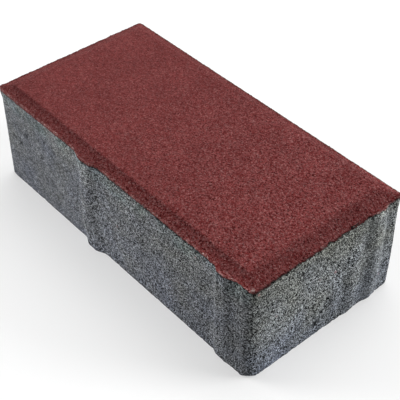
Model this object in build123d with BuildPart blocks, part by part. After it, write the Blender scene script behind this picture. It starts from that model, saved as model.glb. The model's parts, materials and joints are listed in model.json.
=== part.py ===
from build123d import *
import os
from math import radians, tan

# A rectangular two-layer concrete paving block. +X runs along it, +Y across it and +Z up.
# The origin is the middle of the bed, the face that the block is laid on.

# Driving dimensions, in millimetres and degrees.
body_length = 195.0
body_width = 95.0
block_height = 60.0
corner_radius = 4.5  # of the upright corners
rim_corner_radius = 2.5  # that they sharpen to at the rim

facing_depth = 4.0  # of the pigmented mix, under the wearing surface
bevel_drop = 3.0  # from the wearing surface down to the rim
bevel_run_side = 5.4  # of the bevel along the long sides
bevel_run_end = 7.4  # and along the short ends
rim_land = 0.8  # flat rim outside the bevel
wearing_corner_radius = 2.5

nib_proud = 2.5  # how far a spacer nib stands off its wall
rim_nib_proud = 1.8  # that it tapers to at the rim
nib_full_height = 40.0  # from the bed up to where its taper starts
nib_crest_width = 7.0  # between the crest's two edges, before they are rounded
nib_flank_angle = 45.0
nib_root_rounding = 1.8  # radii of a nib's hollow roots and rounded crest, as shares of how far
nib_crest_rounding = 1.2  # it stands proud
nib_seat = 2.0  # how far a nib's outline starts inside the wall, to be one with it
side_nibs_x = (-20.0, 80.0)  # the middles of the two nibs on the -Y wall
end_nib_y = 31.0  # the middle of the one nib on the +X wall

# Heights and walls that follow from them.
facing_bottom = block_height - facing_depth
rim_height = block_height - bevel_drop
end_wall_x = body_length / 2
side_wall_y = -body_width / 2

# A nib's place is the middle of its foot on the wall, turned so that its own +Y points outwards.
nib_places = [Location((x, side_wall_y, 0), (0, 0, 180)) for x in side_nibs_x]
nib_places.append(Location((end_wall_x, end_nib_y, 0), (0, 0, -90)))


def corners_at(outline, place, width, out):
    """The outline's two vertices that lie a width apart across a nib, at a distance out from its wall."""
    spots = [(place * Pos(side * width / 2, out)).position for side in (-1, 1)]
    return [outline.vertices().sort_by_distance(spot)[0] for spot in spots]


def outline_with_nibs(radius, proud):
    """The block in plan: a rounded rectangle, and on it the nibs, trapezoids with rounded crests whose
    flanks run into the wall in hollow curves."""
    flank_share = 1 / tan(radians(nib_flank_angle))
    foot_width = nib_crest_width + 2 * proud * flank_share
    with BuildSketch() as plan:
        RectangleRounded(body_length, body_width, radius)
        with Locations([place * Pos(0, -nib_seat) for place in nib_places]):
            Trapezoid(
                foot_width + 2 * nib_seat * flank_share,
                proud + nib_seat,
                nib_flank_angle,
                align=(Align.CENTER, Align.MIN),
            )
        for place in nib_places:
            fillet(corners_at(plan, place, foot_width, 0), nib_root_rounding * proud)
            fillet(corners_at(plan, place, nib_crest_width, proud), nib_crest_rounding * proud)
    return plan.sketch


# The blank from the bed to the rim: upright up to where the nibs start to taper, and drawn in above.
with BuildPart() as blank:
    moulded_outline = outline_with_nibs(corner_radius, nib_proud)
    with BuildSketch():
        add(moulded_outline)
    extrude(amount=nib_full_height)
    with BuildSketch(Plane.XY.offset(nib_full_height)):
        add(moulded_outline)
    with BuildSketch(Plane.XY.offset(rim_height)):
        add(outline_with_nibs(rim_corner_radius, rim_nib_proud))
    loft(ruled=True)

# Grey backing concrete: the blank up to the facing, with the nibs' lower lengths moulded in one.
with BuildPart() as core_block:
    add(blank.part)
    split(bisect_by=Plane.XY.offset(facing_bottom), keep=Keep.BOTTOM)
core_block.part.label = "core_block"

# Pigmented facing: the blank's last millimetre, up to the rim, and the bevelled pad pressed up on it.
with BuildPart() as face_layer:
    add(blank.part)
    split(bisect_by=Plane.XY.offset(facing_bottom), keep=Keep.TOP)
    pad_length = body_length - 2 * rim_land
    pad_width = body_width - 2 * rim_land
    with BuildSketch(Plane.XY.offset(rim_height)):
        RectangleRounded(pad_length, pad_width, rim_corner_radius)
    with BuildSketch(Plane.XY.offset(block_height)):
        RectangleRounded(
            pad_length - 2 * bevel_run_end,
            pad_width - 2 * bevel_run_side,
            wearing_corner_radius,
        )
    loft()
face_layer.part.label = "face_layer"

os.makedirs("parts", exist_ok=True)
for piece in (core_block, face_layer):
    export_step(piece.part, f"parts/{piece.part.label}.step")
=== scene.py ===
import json
from math import cos, pi, radians, sin
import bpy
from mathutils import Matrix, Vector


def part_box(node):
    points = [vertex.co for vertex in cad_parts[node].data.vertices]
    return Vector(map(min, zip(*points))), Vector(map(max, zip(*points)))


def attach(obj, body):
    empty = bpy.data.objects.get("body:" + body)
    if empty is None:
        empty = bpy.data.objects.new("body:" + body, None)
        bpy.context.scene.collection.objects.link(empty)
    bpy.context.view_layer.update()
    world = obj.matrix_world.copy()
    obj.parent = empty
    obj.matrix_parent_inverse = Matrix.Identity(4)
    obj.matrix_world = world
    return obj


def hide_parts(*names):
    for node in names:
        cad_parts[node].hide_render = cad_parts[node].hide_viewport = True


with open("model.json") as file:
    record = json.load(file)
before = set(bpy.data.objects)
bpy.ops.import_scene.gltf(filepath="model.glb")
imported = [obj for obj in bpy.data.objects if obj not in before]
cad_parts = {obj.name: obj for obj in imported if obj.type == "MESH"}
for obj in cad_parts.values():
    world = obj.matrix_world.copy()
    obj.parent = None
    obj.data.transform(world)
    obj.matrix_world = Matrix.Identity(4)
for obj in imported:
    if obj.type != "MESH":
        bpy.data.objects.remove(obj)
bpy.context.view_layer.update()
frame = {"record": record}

from types import SimpleNamespace

import bpy
import numpy as np
from mathutils import Vector, noise

# A two-layer concrete paving block, in metres: a red facing with a pressed bevel on a grey core with nibs.
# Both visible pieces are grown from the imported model's boxes and mounts, and each replaces its plain solid.

MM = 0.001

# ---------------------------------------------------------------------------------------------------------
# Sizes, from the frame where it has them
# ---------------------------------------------------------------------------------------------------------

core_low, core_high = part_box("core_block")
face_low, face_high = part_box("face_layer")
mounts = {mount["name"]: Vector(mount["pos_m"]) for mount in frame["record"]["mounts"]}

HALF_X = -core_low.x  # the plain end is at -X and the plain side at +Y, so they give the body's half sizes
HALF_Y = core_high.y
NIB_PROUD = core_high.x - HALF_X
TOP = face_high.z
SEAM = core_high.z

RIM = TOP - 3.0 * MM  # the foot of the bevel
TAPER_START = 40.0 * MM  # height from which the nibs draw in towards the rim
CORNER = 4.5 * MM  # radius of the upright corners, but where one is blunter or sharper
NEAR_CORNER = 5.2 * MM  # at +X, -Y
FAR_CORNER = 4.0 * MM  # at +X, +Y
RIM_CORNER = 2.2 * MM  # that they all sharpen to at the rim
CORNER_START = 50 * MM  # height from which they sharpen
BEVEL_SIDE = 6.2 * MM  # from the outer edge to the flat top, along the sides and along the ends
BEVEL_END = 8.2 * MM
RIM_LAND = 0.8 * MM

SWELLING_REACH = 6 * MM  # how far in from the outer edge a swelling of the wall still moves the lid

SIDE = (1, -1)  # the -Y wall and the +X wall: the axis that each faces along, and which way
END = (0, 1)

# What stands out from the walls: the nibs, and soft swellings where the pressed mix has spread. Each has
# its wall, the middle of its crest, half the crest's width, how far its flanks reach below and above the
# middle, the height where it starts to fade towards the rim, and how far out it stands at the bed, up from
# FOOT and at the rim.
FOOT = 16 * MM
NIB_1 = mounts["side_nib_middle"].x
NIB_2 = mounts["side_nib_end"].x
END_NIB = mounts["end_nib"].y
SWELLINGS = [
    (END, 60 * MM, 5 * MM, 105 * MM, 30 * MM, FOOT, 0.3 * MM, 0.6 * MM, 0),
    (END, 17 * MM, 0.8 * MM, 5.6 * MM, 6.2 * MM, FOOT, 0.8 * MM, 1.8 * MM, 0.1 * MM),
    (END, END_NIB, 1.0 * MM, 5.8 * MM, 7.5 * MM, TAPER_START, 1.2 * MM, NIB_PROUD, 0.4 * MM),
    (END, END_NIB, 2.0 * MM, 5.5 * MM, 7.5 * MM, SEAM, 0, 1.3 * MM, 0.4 * MM),
    (SIDE, 91 * MM, 4 * MM, 9 * MM, 12 * MM, FOOT, 0.7 * MM, 0.6 * MM, 0),
    (SIDE, NIB_1 + 2 * MM, 2.4 * MM, 8.8 * MM, 9.5 * MM, FOOT, NIB_PROUD, 0.8 * MM, 0),
    (SIDE, NIB_1 - 1 * MM, 1.5 * MM, 7.5 * MM, 7.5 * MM, TAPER_START, 0, NIB_PROUD, 0.6 * MM),
    (SIDE, NIB_1 - 1 * MM, 0.8 * MM, 10.5 * MM, 11 * MM, TAPER_START, 0, 0, 2.3 * MM),
    (SIDE, NIB_2 - 1.5 * MM, 1.5 * MM, 5.8 * MM, 10 * MM, TAPER_START, 1.2 * MM, 2.2 * MM, 2.2 * MM),
    (SIDE, NIB_2 + 0.5 * MM, 2.0 * MM, 8 * MM, 7 * MM, FOOT, 1.2 * MM, 1.9 * MM, 0),
]

# Painted light and shade on the core's walls, mostly: the flanks of nibs and ridges that face the side lights
# are painted paler, and the flanks and the near corner turned from them painted darker. Each has the wall,
# the middle, half the full width, the reach, the heights from and to, and the change of shade.
PATCHES = [
    (SIDE, NIB_1 - 5 * MM, 1 * MM, 3.6 * MM, 0, TOP, 0.34),
    (SIDE, NIB_2 - 6.5 * MM, 1 * MM, 5 * MM, 0, TOP, 0.24),
    (SIDE, NIB_2 + 4 * MM, 1 * MM, 4 * MM, 0, TOP, -0.22),
    (SIDE, 96 * MM, 5 * MM, 14 * MM, 0, TOP, -0.15),
    (SIDE, 98 * MM, 3 * MM, 8 * MM, 0, TOP, -0.14),
    (END, -49 * MM, 2 * MM, 5 * MM, 0, TOP, -0.3),
    (END, -41 * MM, 2 * MM, 6 * MM, 0, TOP, -0.12),
    (END, -41 * MM, 2 * MM, 6 * MM, 0, 26 * MM, -0.14),
    (END, -33 * MM, 7 * MM, 13 * MM, 2 * MM, 14 * MM, 0.16),
    (END, -3 * MM, 10 * MM, 16 * MM, 22 * MM, 34 * MM, 0.08),
    (END, 13.5 * MM, 2 * MM, 4.5 * MM, 0, 30 * MM, -0.22),
    (END, END_NIB - 4 * MM, 2 * MM, 5 * MM, 0, 28 * MM, -0.12),
    (END, END_NIB - 5.5 * MM, 0.6 * MM, 2.2 * MM, 34 * MM, TOP, -0.12),
    (END, END_NIB - 1.5 * MM, 1 * MM, 4 * MM, 32 * MM, 50 * MM, 0.14),
    (END, END_NIB + 3.5 * MM, 2 * MM, 5 * MM, 0, TOP, 0.28),
    (END, END_NIB + 4 * MM, 1 * MM, 3 * MM, 30 * MM, TOP, 0.2),
    (END, END_NIB + 8.5 * MM, 1 * MM, 3 * MM, 30 * MM, 50 * MM, -0.28),
    (END, END_NIB + 1 * MM, 1 * MM, 2.6 * MM, 51 * MM, TOP, 0.6),
]

# The largest open pits: the wall, the place along it, the height, the radii along and up, and how deep and
# dark each one is beside the scattered ones, which have 1 at the most.
PITS = [
    (SIDE, -87 * MM, 30 * MM, 2.2 * MM, 1.4 * MM, 0.9),
    (SIDE, -82 * MM, 29 * MM, 2.2 * MM, 1.4 * MM, 1.1),
    (SIDE, -75 * MM, 37 * MM, 1.7 * MM, 1.9 * MM, 1.0),
    (SIDE, -61.5 * MM, 32 * MM, 1.7 * MM, 2.0 * MM, 0.8),
    (SIDE, -57 * MM, 44 * MM, 1.6 * MM, 1.3 * MM, 0.8),
    (SIDE, -49.5 * MM, 42 * MM, 1.3 * MM, 1.6 * MM, 0.8),
    (SIDE, -62 * MM, 51 * MM, 1.6 * MM, 1.4 * MM, 0.7),
    (END, -5.5 * MM, 7.5 * MM, 2.7 * MM, 1.5 * MM, 1.5),
    (END, -1 * MM, 9.5 * MM, 1.4 * MM, 1.1 * MM, 1.2),
    (END, -2 * MM, 13.5 * MM, 1.1 * MM, 1.6 * MM, 1.2),
    (END, -11.5 * MM, 15.5 * MM, 1.1 * MM, 1.4 * MM, 1.2),
    (END, 1 * MM, 20 * MM, 1.2 * MM, 1.2 * MM, 1.1),
    (END, 3.5 * MM, 16.5 * MM, 1.2 * MM, 1.4 * MM, 1.2),
    (END, -13.5 * MM, 24 * MM, 1.1 * MM, 1.2 * MM, 1.1),
    (END, -7 * MM, 17 * MM, 1.0 * MM, 1.2 * MM, 1.0),
    (END, 1.5 * MM, 42.5 * MM, 1.7 * MM, 1.0 * MM, 0.9),
    (END, 6.5 * MM, 38.5 * MM, 1.4 * MM, 1.0 * MM, 1.0),
    (END, -20.5 * MM, 34 * MM, 1.0 * MM, 1.0 * MM, 1.1),
    (END, -16 * MM, 45.5 * MM, 1.5 * MM, 1.0 * MM, 1.0),
]


def smoothstep(low, high, value):
    t = np.clip((value - low) / (high - low), 0, 1)
    return t * t * (3 - 2 * t)


def band(value, middle, half, reach):
    """1 within half of the middle, and 0 past the reach."""
    return smoothstep(reach, half, np.abs(value - middle))


# ---------------------------------------------------------------------------------------------------------
# Noise fields. A number added to the points, in metres, picks another stretch of the same noise
# ---------------------------------------------------------------------------------------------------------


def ripple(points, pitch, octaves=1):
    """Smooth noise, about -1 to 1, with features about a pitch across, which may differ by axis."""
    places = (points / pitch).tolist()
    if octaves == 1:
        return np.array([noise.noise(place) for place in places])
    return np.array([noise.fractal(place, 1.0, 2.0, octaves) for place in places])


def dots(points, pitch, radius, share):
    """Height, 0 to 1, of round dots on a jumbled lattice: the share of its cells that have one, each of its
    own size. The share may be one for each point."""
    height = np.zeros(len(points))
    shares = np.broadcast_to(share, len(points))
    for i, place in enumerate((points / pitch).tolist()):
        distances, features = noise.voronoi(place)
        chance = noise.cell(features[0] * 37.0) * 0.5 + 0.5
        if chance < shares[i]:
            size = radius / pitch * (0.5 + 0.5 * chance / shares[i])
            height[i] = max(0.0, 1.0 - (distances[0] / size) ** 2)
    return height


def flat(plan):
    return np.column_stack([plan, np.zeros(len(plan))])


# ---------------------------------------------------------------------------------------------------------
# The block's surface as a grid: a lid, the wall below or above it, and a hidden cap at the seam
# ---------------------------------------------------------------------------------------------------------


def grid_lines(half, edge_steps, pitch):
    """Places of grid lines from -half to half: the edge steps at both ends, and even steps between them.
    There is always an even number of steps."""
    edge = np.concatenate([[0.0], np.cumsum(edge_steps)])
    middle = half - edge[-1]
    count = 2 * round(middle / pitch)
    return np.concatenate([edge - half, np.linspace(-middle, middle, count + 1)[1:-1], half - edge[::-1]])


def slab_grid(x_lines, y_lines, levels, skip):
    """The vertices of a box, as places on the body's rectangle and levels (0 on the lid), with the faces that
    join them, which look outwards if the lid is on top. The lid's cells are skip steps wide, and the wall's
    one step. One flat face closes the box at the last level."""
    nx, ny = len(x_lines) - 1, len(y_lines) - 1
    border = [(i, 0) for i in range(nx)] + [(nx, j) for j in range(ny)]
    border += [(i, ny) for i in range(nx, 0, -1)] + [(0, j) for j in range(ny, 0, -1)]
    inner = [(i, j) for i in range(skip, nx, skip) for j in range(skip, ny, skip)]
    number = {spot: k for k, spot in enumerate(border + inner)}
    faces = []
    for i in range(0, nx, skip):
        for j in range(0, ny, skip):
            steps = range(skip)
            walk = [(i + k, j) for k in steps] + [(i + skip, j + k) for k in steps]
            walk += [(i + skip - k, j + skip) for k in steps] + [(i, j + skip - k) for k in steps]
            faces.append([number[spot] for spot in walk if spot in number])
    spots = np.array(border + inner)
    lid = np.column_stack([x_lines[spots[:, 0]], y_lines[spots[:, 1]]])
    rounds = len(border)
    rings = [np.arange(rounds)]
    for level in range(len(levels)):
        rings.append(len(lid) + rounds * level + np.arange(rounds))
    for upper, lower in zip(rings, rings[1:]):
        faces += np.stack([upper, lower, np.roll(lower, -1), np.roll(upper, -1)], -1).tolist()
    faces.append(rings[-1][::-1].tolist())
    places = np.concatenate([lid] + [lid[:rounds]] * len(levels))
    level_there = np.concatenate([np.zeros(len(lid))] + [np.full(rounds, level) for level in levels])
    return places, level_there, faces


def wall_swelling(places, height):
    """How far the walls stand out, along X and along Y, at the rectangle's places and their heights."""
    out = np.zeros_like(places)
    for (axis, way), middle, crest, below, above, fade_start, at_bed, full, at_rim in SWELLINGS:
        along = places[:, 1 - axis] - middle
        shape = smoothstep(-below, -crest, along) * smoothstep(above, crest, along)
        reach = at_rim + (full - at_rim) * smoothstep(RIM, fade_start, height)
        reach += (at_bed - full) * smoothstep(FOOT, 0, height)
        reach = np.where(places[:, axis] * way > 0, reach, 0)
        out[:, axis] += shape * np.maximum(reach - out[:, axis], 0)
    return out


def on_plan(places, height):
    """The rectangle's places on the rounded plan with its nibs, at each one's height, with their outward
    directions and their depths in from the rectangle's edge."""
    side = np.where(places < 0, -1.0, 1.0)
    radius = np.where(side[:, 0] < 0, CORNER, np.where(side[:, 1] < 0, NEAR_CORNER, FAR_CORNER))
    radius = (RIM_CORNER + (radius - RIM_CORNER) * smoothstep(RIM, CORNER_START, height))[:, None]
    half = np.array([HALF_X, HALF_Y])
    inside = half - np.abs(places)
    depth = inside.min(1)
    # How far each place is into its corner's square, along X and along Y. Square rings become round there.
    a, b = np.clip((radius - inside) / radius, 0, 1).T
    in_corner = (a > 0) & (b > 0)
    bend = np.where(a >= b, b / np.maximum(a, 1e-9), 2 - a / np.maximum(b, 1e-9)) * pi / 4
    turn = np.stack([np.cos(bend), np.sin(bend)], -1)
    rounded = half - radius + radius * np.maximum(a, b)[:, None] * turn
    plan = np.where(in_corner[:, None], rounded, np.abs(places)) * side
    square = np.where((inside[:, 0] <= inside[:, 1])[:, None], [1.0, 0.0], [0.0, 1.0])
    outward = np.where(in_corner[:, None], turn, square) * side
    plan += wall_swelling(places, height) * side * smoothstep(SWELLING_REACH, 0, inside)
    return plan, outward, depth


def seam_height(plan, outward):
    """The uneven height where the red facing meets the grey core, more ragged along the ends."""
    rough = 0.22 + 0.85 * np.abs(outward[:, 0])
    climb = 0.9 * smoothstep(78 * MM, 90 * MM, plan[:, 0]) - 0.45
    crown = smoothstep(-20 * MM, 5 * MM, plan[:, 1]) * smoothstep(38 * MM, 24 * MM, plan[:, 1])
    dip = smoothstep(-25 * MM, -40 * MM, plan[:, 1])
    climb += (0.45 * crown - 0.5 * dip) * smoothstep(92 * MM, 97 * MM, plan[:, 0])
    return SEAM + MM * (climb + 0.2 * ripple(flat(plan), 12 * MM) + rough * ripple(flat(plan), 2.2 * MM))


def seam_gap(plan, outward):
    """How far the wall is drawn in at the seam: a crack along the sides, a crumbled gap along the ends."""
    crumble = 0.55 + 0.6 * ripple(flat(plan), 1.7 * MM) + 0.4 * ripple(flat(plan), 7 * MM)
    opened = 0.35 + 0.65 * smoothstep(-50 * MM, -10 * MM, plan[:, 0])
    reach = opened * (0.7 + 0.3 * np.abs(outward[:, 0]))
    return reach * MM * np.clip(crumble, 0.05, 1.4)


def make_mesh(name, vertices, faces, tint, grit, material):
    mesh = bpy.data.meshes.new(name)
    mesh.from_pydata(vertices.tolist(), [], faces)
    mesh.shade_smooth()
    colours = mesh.attributes.new("tint", "FLOAT_COLOR", "POINT")
    colours.data.foreach_set("color", np.column_stack([tint, np.ones(len(tint))]).ravel())
    mesh.attributes.new("grit", "FLOAT", "POINT").data.foreach_set("value", grit)
    mesh.materials.append(material)
    mesh.validate()
    piece = bpy.data.objects.new(name, mesh)
    bpy.context.scene.collection.objects.link(piece)
    return piece


# ---------------------------------------------------------------------------------------------------------
# Materials
# ---------------------------------------------------------------------------------------------------------

MIX_A, MIX_B, MIX_RESULT = 6, 7, 2  # the places of a Mix node's sockets that are colours


def new_material(name):
    material = bpy.data.materials.new(name)
    material.use_nodes = True
    material.node_tree.nodes.clear()
    return material, material.node_tree


def put(tree, kind, inputs=None, **settings):
    """Adds a node with its settings, and links or sets its inputs."""
    node = tree.nodes.new("ShaderNode" + kind)
    for key, value in settings.items():
        setattr(node, key, value)
    for key, value in (inputs or {}).items():
        if isinstance(value, bpy.types.NodeSocket):
            tree.links.new(value, node.inputs[key])
        else:
            node.inputs[key].default_value = value
    return node


def curve(tree, value, stops):
    """A ramp from value to the stops' greys or colours."""
    ramp = put(tree, "ValToRGB", {"Fac": value})
    elements = ramp.color_ramp.elements
    while len(elements) < len(stops):
        elements.new(0.5)
    for element, (place, shade) in zip(elements, stops):
        element.position = place
        element.color = (*shade, 1) if isinstance(shade, tuple) else (shade, shade, shade, 1)
    return ramp.outputs["Color"]


def product(tree, first, second):
    """One colour times another. Each may be a socket or a constant."""
    mix = put(tree, "Mix", data_type="RGBA", blend_type="MULTIPLY")
    mix.inputs["Factor"].default_value = 1.0
    for socket, value in ((mix.inputs[MIX_A], first), (mix.inputs[MIX_B], second)):
        if isinstance(value, bpy.types.NodeSocket):
            tree.links.new(value, socket)
        else:
            socket.default_value = (*value, 1)
    return mix.outputs[MIX_RESULT]


def concrete(name, colour, grain_pitch, grain_stops, speck_stops, mottle_stops, bump_height):
    """Concrete: single sand grains of many shades and finer specks between them, as strong as the mesh's
    grit attribute says, with slow mottling and relief."""
    material, tree = new_material(name)
    place = put(tree, "TexCoord").outputs["Object"]
    grains = put(tree, "TexVoronoi", {"Vector": place, "Scale": 1 / grain_pitch})
    chance = put(tree, "SeparateColor", {"Color": grains.outputs["Color"]}).outputs["Red"]
    grain = curve(tree, chance, grain_stops)
    fineness = {"Scale": 1 / grain_pitch, "Detail": 2.0, "Roughness": 0.6}
    fine = put(tree, "TexNoise", {"Vector": place, **fineness})
    speck = curve(tree, fine.outputs["Fac"], speck_stops)
    slow = put(tree, "TexNoise", {"Vector": place, "Scale": 60.0, "Detail": 4.0, "Roughness": 0.6})
    mottle = curve(tree, slow.outputs["Fac"], mottle_stops)
    sandy = put(tree, "Mix", data_type="RGBA")
    sandy.inputs[MIX_A].default_value = (1, 1, 1, 1)
    tree.links.new(put(tree, "Attribute", attribute_name="grit").outputs["Fac"], sandy.inputs["Factor"])
    tree.links.new(product(tree, grain, speck), sandy.inputs[MIX_B])
    tint = put(tree, "Attribute", attribute_name="tint").outputs["Color"]
    shade = product(tree, product(tree, sandy.outputs[MIX_RESULT], mottle), tint)
    terms = {0: fine.outputs["Fac"], 1: grains.outputs["Distance"]}
    height = put(tree, "Math", terms, operation="SUBTRACT")
    bump = put(tree, "Bump", {"Height": height.outputs[0], "Distance": bump_height, "Strength": 1.0})
    shader = put(
        tree,
        "BsdfPrincipled",
        {
            "Base Color": product(tree, shade, colour),
            "Roughness": 0.95,
            "Specular IOR Level": 0.12,
            "Normal": bump.outputs["Normal"],
        },
    )
    put(tree, "OutputMaterial", {"Surface": shader.outputs["BSDF"]})
    return material


# ---------------------------------------------------------------------------------------------------------
# The red facing
# ---------------------------------------------------------------------------------------------------------


def pad_height(plan):
    """Height of the bevelled pad over the rim: an even slope up from the ends, and one that steepens from
    the sides. Where two slopes meet, the corner between them is eased."""
    land = np.array([BEVEL_END, BEVEL_SIDE]) - RIM_LAND
    climb = (np.array([HALF_X, HALF_Y]) - RIM_LAND - np.abs(plan)) / land
    climb += (0.04 * ripple(flat(plan), 9 * MM) + 0.03 * ripple(flat(plan), 2.5 * MM))[:, None]
    from_end = climb[:, 0]
    from_side = climb[:, 1]
    steepening = 0.66 * from_side + 0.34 * np.maximum(from_side, 0) ** 2.8
    from_side = np.where(from_side < 0, from_side, steepening)
    blend = 0.1
    gap = np.abs(from_end - from_side)
    low = np.minimum(from_end, from_side) - np.where(gap < blend, (blend - gap) ** 2 / (4 * blend), 0)
    return (TOP - RIM) * soft_clamp(low, 0.14)


def soft_clamp(value, ease):
    """value held between 0 and 1, with its two bends eased."""
    lower = np.where(np.abs(value) < ease, (value + ease) ** 2 / (4 * ease), np.maximum(value, 0))
    over = lower - 1
    return lower - np.where(np.abs(over) < ease, (over + ease) ** 2 / (4 * ease), np.maximum(over, 0))


def rim_flaws(plan, outward, depth):
    """How the facing is uneven and broken, as fields from 0 up: the thin flash that stands along its edge,
    crumbs, the crumb on the near corner's tip, small hollows, and the notches on the near end."""
    end = np.abs(outward[:, 0])
    near_end, far_side = np.maximum(outward, 0).T
    flash = np.clip(0.6 + 0.6 * ripple(flat(plan), 6 * MM) + 0.9 * ripple(flat(plan), 1.4 * MM), 0, 1.3)
    flash *= smoothstep(1.2 * MM, 0.4 * MM, depth) * (1 - 0.6 * end) * (1 - 0.7 * far_side)
    flash *= 1 + 0.5 * smoothstep(-30 * MM, -50 * MM, plan[:, 0])
    tip = np.array([HALF_X - 1.6 * MM, 1.4 * MM - HALF_Y])
    tip_crumb = np.maximum(0, 1 - (np.linalg.norm(plan - tip, axis=1) / (1.5 * MM)) ** 2)
    crumb = dots(flat(plan), 2.3 * MM, 0.8 * MM, 0.3 + 0.2 * end) * smoothstep(1.8 * MM, 0.4 * MM, depth)
    crumb = np.maximum(crumb, tip_crumb)
    hollow = dots(flat(plan), 3.0 * MM, 0.85 * MM, 0.4) * (1 - np.minimum(crumb, 1))
    notch = dots(flat(plan) + 0.6, 2.9 * MM, 1.8 * MM, 0.8) * near_end
    notch *= smoothstep(1.8 * MM, 0.5 * MM, depth)
    return SimpleNamespace(flash=flash, crumb=crumb, tip_crumb=tip_crumb, hollow=hollow, notch=notch)


def facing_shade(at):
    """The bevel is darker, partly from its closer pressing and partly as painted shade, most of all on the -Y
    side and the +X end, which face away from the overhead light. A band of the top inside the end bevel has
    painted shade too. The outer edge of the ends and of the far side, the near end's wall, the hollows, the
    notches and the open seam are darker, as painted shade and shadow."""
    plan, depth, flaws = at.plan, at.depth, at.flaws
    end = np.abs(at.outward[:, 0])
    near_end, far_side = np.maximum(at.outward, 0).T
    slope = smoothstep(1.0, 0.95, at.pressed)
    upper = smoothstep(1.0, 0.92, at.pressed) * smoothstep(0.3, 0.8, at.pressed)
    crest = at.by_end * smoothstep(BEVEL_END + 3.5 * MM, BEVEL_END - 0.5 * MM, HALF_X - np.abs(plan[:, 0]))
    on_sides = 0.18 * slope + 0.13 * upper
    on_ends = 0.03 * slope + 0.06 * upper
    shade = 1 - at.rubbed * (on_sides * (1 - at.by_end) + on_ends * at.by_end)
    # Painted shade on a band of the flat top just inside the end bevel.
    shade *= 1 - 0.23 * at.rubbed * crest
    shade *= 1 + (0.15 - 0.09 * at.along) * ripple(flat(plan), 3 * MM, 2)
    # Painted shadow along the outer edge of the ends' rim, and painted shade on the far side's outer edge.
    outer = smoothstep(1.2 * MM, 0.5 * MM, depth) * (1 - np.minimum(flaws.crumb, 1)) * (1 - at.on_nib)
    shade *= 1 - 0.3 * end * outer
    shade *= 1 - 0.45 * np.maximum(near_end - at.on_nib, far_side) * smoothstep(0.8 * MM, 0.3 * MM, depth)
    # Painted shadow on the near end's wall under the rim.
    shade *= 1 - 0.5 * near_end * np.minimum(2 * at.level, 1)
    # Painted shade in the hollows and notches, and painted shadow in the open seam.
    shade *= (1 - 0.4 * flaws.hollow) * (1 - 0.65 * flaws.notch)
    shade *= 1 - 0.75 * smoothstep(0, 0.5 * MM, at.gap)
    return np.maximum(shade, at.ledge)


def facing_paleness(at):
    """Flash and crumbs are pale. The lips along the rim's outer edge are pale partly as broken edge and
    partly as a painted highlight, and so are the ledges that the nibs make under the rim.
    """
    end = np.abs(at.outward[:, 0])
    # The lip is pale partly as a broken edge and partly as a painted highlight.
    broken = 0.3 + 1.6 * ripple(flat(at.plan), 3.1 * MM) + 1.2 * ripple(flat(at.plan), 1.1 * MM)
    lip = np.clip(broken, 0, 1.4) * smoothstep(0.8 * MM, 0.2 * MM, at.depth) * at.rubbed
    lip *= 1 - 0.7 * end * smoothstep(26 * MM, 22 * MM, at.plan[:, 1]) + 0.6 * at.on_nib
    pale = 0.5 * at.flaws.flash + 1.6 * lip + 1.1 * at.flaws.crumb + 1.8 * at.flaws.tip_crumb
    pale = np.clip(pale, 0, 2.8) * (1 - at.level)
    return np.maximum(pale, at.ledge * (4.5 + 8 * at.lumps))


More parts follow.
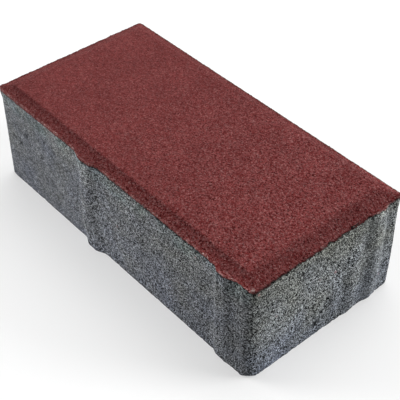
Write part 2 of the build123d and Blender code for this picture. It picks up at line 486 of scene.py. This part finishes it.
def make_facing():
    edge_steps = np.array([0.22] * 5 + [0.32] * 5 + [0.42] * 16) * MM
    pitch = 0.5 * MM
    wall_levels = np.array([0.2, 0.4, 0.6, 0.8, 1.0])  # from the rim, 0, down to the seam, 1
    x_lines = grid_lines(HALF_X, edge_steps, pitch)
    y_lines = grid_lines(HALF_Y, edge_steps, pitch)
    places, level, faces = slab_grid(x_lines, y_lines, wall_levels, 1)
    rim_plan = on_plan(places, np.full(len(places), RIM))[0]
    plan, outward, depth = on_plan(places, RIM + (SEAM - RIM) * level)
    ledge = smoothstep(0.2 * MM, 0.7 * MM, np.linalg.norm(plan - rim_plan, axis=1))
    near_end, far_side = np.maximum(outward, 0).T
    flaws = rim_flaws(plan, outward, depth)

    # Height of the lid: the pad, the flaws and the sand's relief, which the pressing has flattened on top.
    pad = pad_height(plan)
    pressed = smoothstep(0.0, 1.0, pad / (TOP - RIM))
    sand = ripple(flat(plan), 1.3 * MM) + 0.7 * ripple(flat(plan), 0.8 * MM)
    relief = (0.16 - 0.08 * pressed) * sand - 0.3 * flaws.hollow + 0.45 * flaws.crumb - 0.6 * flaws.notch
    height = np.minimum(RIM + pad + (0.4 * flaws.flash + relief) * MM, TOP)
    z = height + (seam_height(plan, outward) - height) * level

    # The wall and the rim's edge: lumpy, most of all on the near end, and drawn in at the seam.
    solid = np.column_stack([plan, z])
    lumps = 0.2 * ripple(solid, 2.4 * MM) + 0.14 * ripple(solid, 1.1 * MM)
    gap = seam_gap(plan, outward) * smoothstep(0.3, 1.0, level)
    rough = 1 + 1.8 * near_end - 0.5 * far_side
    edge = smoothstep(1.2 * MM, 0, depth)
    shift = edge * (rough * lumps + 0.2 * flaws.crumb - 0.8 * flaws.notch - 0.1) * MM - gap
    plan = plan + outward * shift[:, None]

    # The fields that the tint depends on, with a value at each vertex.
    at = SimpleNamespace(plan=plan, outward=outward, depth=depth, level=level, flaws=flaws)
    at.pressed, at.lumps, at.gap, at.ledge = pressed, lumps, gap, ledge
    at.along = smoothstep(-HALF_X, HALF_X, plan[:, 0])
    at.by_end = np.where(np.abs(plan[:, 0]) - HALF_X > np.abs(plan[:, 1]) - HALF_Y - 2 * MM, 1, 0)
    at.on_nib = near_end * band(plan[:, 1], END_NIB + 1 * MM, 3.5 * MM, 7 * MM)
    # The -Y side and the +X end face away from the overhead light: their bevel is painted darker as shade and
    # their lip paler as a highlight.
    at.rubbed = np.where((outward[:, 0] > 0.5) | (outward[:, 1] < -0.5), 1.0, 0.15)
    towards_pink = np.array([0.4, 1.2, 1.15])
    tint = facing_shade(at)[:, None] * (1 + facing_paleness(at)[:, None] * towards_pink)
    # Painted highlight on the rim's lip towards the near corner of the -Y side.
    near_lip_highlight = smoothstep(40 * MM, 75 * MM, plan[:, 0]) * smoothstep(2.6 * MM, 1.8 * MM, depth)
    tint *= 1 + 0.28 * (near_lip_highlight * (1 - at.by_end))[:, None]
    grit = 0.46 + 0.48 * at.along + 0.2 * smoothstep(1.0, 0.95, pressed)

    # Bright grains are duller red and dark ones a deeper red, so red varies less than green and blue.
    brightness = [(0.0, 0.05), (0.15, 0.45), (0.5, 1.0), (0.85, 1.48), (1.0, 2.2)]
    red = concrete(
        "red_facing_concrete",
        colour=(0.1545, 0.0333, 0.0326),
        grain_pitch=0.58 * MM,
        grain_stops=[(place, (shade**0.52, shade**1.44, shade**1.44)) for place, shade in brightness],
        speck_stops=[(0.3, 0.48), (0.5, 1.0), (0.7, 1.52)],
        mottle_stops=[(0.3, 0.9), (0.7, 1.1)],
        bump_height=0.3 * MM,
    )
    return make_mesh("facing", np.column_stack([plan, z]), faces, tint, grit, red)


# ---------------------------------------------------------------------------------------------------------
# The grey core
# ---------------------------------------------------------------------------------------------------------


def open_pits(at):
    """Depth, from 0 up, of the large pits: scattered ones, a cluster on the end wall, and those in PITS."""
    hole = dots(at.solid, 5.5 * MM, 1.7 * MM, 0.25) * at.coarse
    hole = np.maximum(hole, 1.3 * at.loose * dots(at.solid + 0.3, 3.2 * MM, 1.6 * MM, 0.75))
    ragged = 0.5 * ripple(at.solid, 1.3 * MM)
    for (axis, way), along, height, wide, tall, deep in PITS:
        across = ((at.solid[:, 1 - axis] - along) / wide) ** 2 + ((at.solid[:, 2] - height) / tall) ** 2
        on_this = at.outward[:, axis] * way > 0.5
        hole = np.maximum(hole, deep * np.clip(1.3 - across + ragged, 0, 1) * on_this)
    return hole


def drag_marks(at):
    """Upright marks that stripping the mould leaves, strongest by the nibs."""
    x, y = at.solid[:, 0], at.solid[:, 1]
    by_nib = smoothstep(66 * MM, 76 * MM, x) * (1 - at.end) + smoothstep(8 * MM, 20 * MM, y) * at.end
    return ripple(at.solid, np.array([1.9, 1.9, 26.0]) * MM) * (0.4 + 0.6 * np.clip(by_nib, 0, 1))


def core_shade(at):
    """Pits, the open seam and the bed's edge are darker, as painted shade and shadow. The walls have PATCHES
    of painted light and shade, and slow changes of shade.
    """
    plan, z, solid, end = at.plan, at.z, at.solid, at.end
    up = z / SEAM
    # Painted shade in the pits.
    shade = 1 - 0.55 * np.minimum(np.maximum(at.pit, at.hole), 1.4)
    shade += 0.12 * at.sand * at.coarse + 0.12 * at.drag
    # Painted shadow in the open seam.
    shade *= 1 - 0.75 * smoothstep(0, 0.5 * MM, at.gap)
    shade *= 1 + 0.1 * ripple(solid, 21 * MM, 3)
    under_rim = smoothstep(0.8, 0.88, up)
    side_shade = 1.12 - 0.3 * smoothstep(-30 * MM, 75 * MM, plan[:, 0]) + 0.1 * under_rim
    end_shade = 0.93 + 0.15 * smoothstep(0.1, 0.45, up) * smoothstep(1, 0.6, up) - 0.1 * under_rim
    shade *= (1 - end) * side_shade + end * end_shade
    # Painted shade along the bed's edge, where the walls meet the floor.
    shade *= 1 - 0.45 * smoothstep(1.6 * MM, 0.2 * MM, z) * at.on_wall
    # Painted light and shade from PATCHES on the nibs' flanks and by the near corner.
    for (axis, way), middle, half, reach, low, high, change in PATCHES:
        facing_way = end if axis == 0 else 1 - end
        on_this = facing_way * (at.outward[:, axis] * way > 0)
        tall = smoothstep(low - 3 * MM, low + 3 * MM, z) * smoothstep(high + 3 * MM, high - 3 * MM, z)
        shade *= 1 + change * on_this * tall * band(plan[:, 1 - axis], middle, half, reach)

    # Loose pale sand with dots of painted shadow just under the ends' rim, a soft mottle on the smooth wall,
    # and streaks from the last nib on.
    fleck = dots(solid + 0.9, 2.3 * MM, 0.9 * MM, 0.5) * smoothstep(2.0 * MM, 0.8 * MM, at.below_seam)
    shadow_dots = dots(solid + 0.2, 2.6 * MM, 1.1 * MM, 0.6) * smoothstep(1.6 * MM, 0.6 * MM, at.below_seam)
    shade *= (1 + 0.9 * fleck * end) * (1 - 0.7 * shadow_dots * end)
    shade *= 1 + 0.42 * at.smooth_side * ripple(solid + 0.2, 2.6 * MM, 2)
    streak = ripple(solid, np.array([1.3, 1.3, 14.0]) * MM) * (1 - end) * (at.outward[:, 1] < 0)
    shade *= 1 + 0.7 * streak * smoothstep(70 * MM, 75 * MM, plan[:, 0]) * smoothstep(0.74, 0.84, up)
    return shade


def core_hue(at):
    """Slow blotches lean to blue or, higher up, to olive. Under the sides' rim some are greener, and a few
    stray grains are red."""
    up = at.z / SEAM
    lean = 0.8 * ripple(at.solid + 0.5, 14 * MM, 3) + (up - 0.5) * (0.9 + 0.9 * at.end) + 0.3 * at.loose
    blue_foot = band(at.plan[:, 1], -35 * MM, 7 * MM, 18 * MM) * smoothstep(24 * MM, 10 * MM, at.z)
    lean -= 0.8 * at.end * blue_foot
    green = smoothstep(0.8, 0.93, up) * (1 - at.end) * np.clip(ripple(at.solid + 0.1, 9 * MM) + 0.4, 0, 1)
    stray = dots(at.solid + 0.7, 7 * MM, 0.9 * MM, 0.3)
    hue = 1 + lean[:, None] * np.array([0.035, 0.01, -0.10])
    hue *= 1 + at.end[:, None] * np.array([-0.02, 0.0, -0.04])
    hue *= 1 + green[:, None] * np.array([-0.12, 0.02, 0.0])
    return hue * (1 + stray[:, None] * np.array([0.7, -0.2, -0.15]))


def make_core():
    edge_steps = np.array([0.3, 0.4, 0.5, 0.6]) * MM
    pitch = 0.63 * MM
    by_bed, by_seam = [0.3, 0.7, 1.2], [54.7, 55.1, 55.5, 55.8, 56.0]
    heights = np.concatenate([by_bed, np.arange(1.8, 54.4, 0.64), by_seam]) * MM
    x_lines = grid_lines(HALF_X, edge_steps, pitch)
    y_lines = grid_lines(HALF_Y, edge_steps, pitch)
    places, level, faces = slab_grid(x_lines, y_lines, heights / SEAM, 2)
    faces = [face[::-1] for face in faces]  # the lid is the bed here, so the faces turn over
    plan, outward, depth = on_plan(places, level * SEAM)
    seam = seam_height(plan, outward)
    z = level * seam

    # The fields that the relief and the tint depend on, with a value at each vertex. The noise is taken at
    # solid, the places on the even wall, and the relief then moves them to plan and z.
    at = SimpleNamespace(solid=np.column_stack([plan, z]), outward=outward, on_wall=level > 0)
    at.end = smoothstep(0.3, 0.8, np.abs(outward[:, 0]))
    at.coarse = 0.55 + 0.45 * at.end
    cluster = np.hypot(plan[:, 1] + 3 * MM, z - 16 * MM)  # distance from its middle, on the end wall
    at.loose = at.end * smoothstep(15 * MM, 6 * MM, cluster) * (plan[:, 0] > 0)
    at.sand = 0.7 * ripple(at.solid, 2.3 * MM) + 0.8 * ripple(at.solid, 1.25 * MM)
    at.pit = dots(at.solid, 2.1 * MM, 0.95 * MM, 0.55) * at.coarse
    at.hole = open_pits(at)
    at.drag = drag_marks(at)
    at.below_seam = seam - z
    at.gap = seam_gap(plan, outward) * smoothstep(0.9 * MM, 0, at.below_seam)

    # Relief: sand grains, drag marks, soft waves and pits.
    soft = ripple(at.solid, 17 * MM)
    relief = 0.13 * at.sand * at.coarse + 0.14 * at.drag + 0.12 * soft - 0.4 * at.pit - 0.6 * at.hole - 0.1
    shift = np.where(at.on_wall | (depth < 1e-6), relief * MM - at.gap, 0)

    # The bed edge is worn to a small uneven bevel, which is widest on the near corner.
    chips = np.clip(ripple(flat(plan), 4.5 * MM) + 0.5 * ripple(flat(plan), 1.8 * MM), 0, 1)
    near_corner = np.clip(-2 * outward[:, 0] * outward[:, 1], 0, 1) * (outward[:, 0] > 0)
    bevel = 0.2 + 1.2 * chips * (0.5 + 0.5 * at.end) + 1.2 * near_corner
    worn = np.maximum(bevel * MM - z - depth, 0) / 2
    at.plan = plan + outward * (shift - worn)[:, None]
    at.z = np.where(at.on_wall, z, np.maximum(0, -relief * 0.8 * MM)) + worn

    at.smooth_side = (1 - at.end) * smoothstep(-10 * MM, -60 * MM, at.plan[:, 0])
    moulded = at.end * band(at.plan[:, 1], END_NIB, 5 * MM, 11 * MM) * (at.plan[:, 0] > 0)
    tint = core_shade(at)[:, None] * core_hue(at)
    grit = 0.84 + 0.16 * at.end - 0.42 * at.smooth_side - 0.3 * moulded
    grey = concrete(
        "grey_core_concrete",
        colour=(0.13, 0.136, 0.147),
        grain_pitch=0.5 * MM,
        grain_stops=[(0.0, 0.0), (0.3, 0.0), (0.42, 1.0), (0.8, 2.1), (1.0, 3.5)],
        speck_stops=[(0.32, 0.1), (0.5, 1.0), (0.68, 1.8)],
        mottle_stops=[(0.3, 0.92), (0.7, 1.08)],
        bump_height=0.4 * MM,
    )
    return make_mesh("core", np.column_stack([at.plan, at.z]), faces, tint, grit, grey)


# ---------------------------------------------------------------------------------------------------------
# Floor, light and camera
# ---------------------------------------------------------------------------------------------------------


def make_floor():
    mesh = bpy.data.meshes.new("floor")
    reach = 6.0
    corners = [(-reach, -reach, 0), (reach, -reach, 0), (reach, reach, 0), (-reach, reach, 0)]
    mesh.from_pydata(corners, [], [(0, 1, 2, 3)])
    material, tree = new_material("pale_floor")
    shader = put(
        tree,
        "BsdfPrincipled",
        {
            "Base Color": (0.55, 0.55, 0.55, 1),
            "Roughness": 1.0,
            "Specular IOR Level": 0.0,
            "Emission Color": (1, 1, 1, 1),
            "Emission Strength": 0.42,
        },
    )
    put(tree, "OutputMaterial", {"Surface": shader.outputs["BSDF"]})
    mesh.materials.append(material)
    floor = bpy.data.objects.new("floor", mesh)
    bpy.context.scene.collection.objects.link(floor)


def add_softbox(name, direction, spread, strength):
    """A distant soft light that shines from a direction, and spreads over an angle in degrees."""
    data = bpy.data.lights.new(name, "SUN")
    data.angle = radians(spread)
    data.energy = strength * pi
    light = bpy.data.objects.new(name, data)
    light.rotation_euler = Vector(direction).to_track_quat("Z", "Y").to_euler()
    bpy.context.scene.collection.objects.link(light)


def light_studio():
    world = bpy.data.worlds.new("studio")
    world.use_nodes = True
    tree = world.node_tree
    direction = put(tree, "TexCoord").outputs["Generated"]
    height = put(tree, "SeparateXYZ", {"Vector": direction}).outputs["Z"]
    sky = curve(tree, height, [(0.0, 0.5), (0.1, 0.4), (0.3, 0.2), (1.0, 0.22)])
    tree.links.new(sky, tree.nodes["Background"].inputs["Color"])
    bpy.context.scene.world = world
    add_softbox("overhead", (-0.12, 0.24, 0.50), 50, 0.50)
    add_softbox("left", (-0.82, -0.45, 0.33), 35, 0.80)
    add_softbox("right", (0.58, 0.74, 0.33), 35, 0.90)


def add_camera():
    azimuth, elevation, distance = radians(49.0), radians(42.12), 0.53255
    back = Vector((sin(azimuth) * cos(elevation), -cos(azimuth) * cos(elevation), sin(elevation)))
    aim = Vector((-1.96, 9.64, 8.63)) * MM
    data = bpy.data.cameras.new("camera")
    data.lens = 90.57
    data.sensor_width = 36.0
    data.clip_start = 0.01
    camera = bpy.data.objects.new("camera", data)
    camera.location = aim + back * distance
    camera.rotation_euler = (-back).to_track_quat("-Z", "Y").to_euler()
    bpy.context.scene.collection.objects.link(camera)
    bpy.context.scene.camera = camera


add_camera()
light_studio()
make_floor()
bpy.context.scene.view_settings.view_transform = "Standard"

facing = make_facing()
core = make_core()
for piece, node, slot in ((facing, "face_layer", "red_facing"), (core, "core_block", "grey_concrete")):
    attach(piece, "root")
    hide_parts(node)
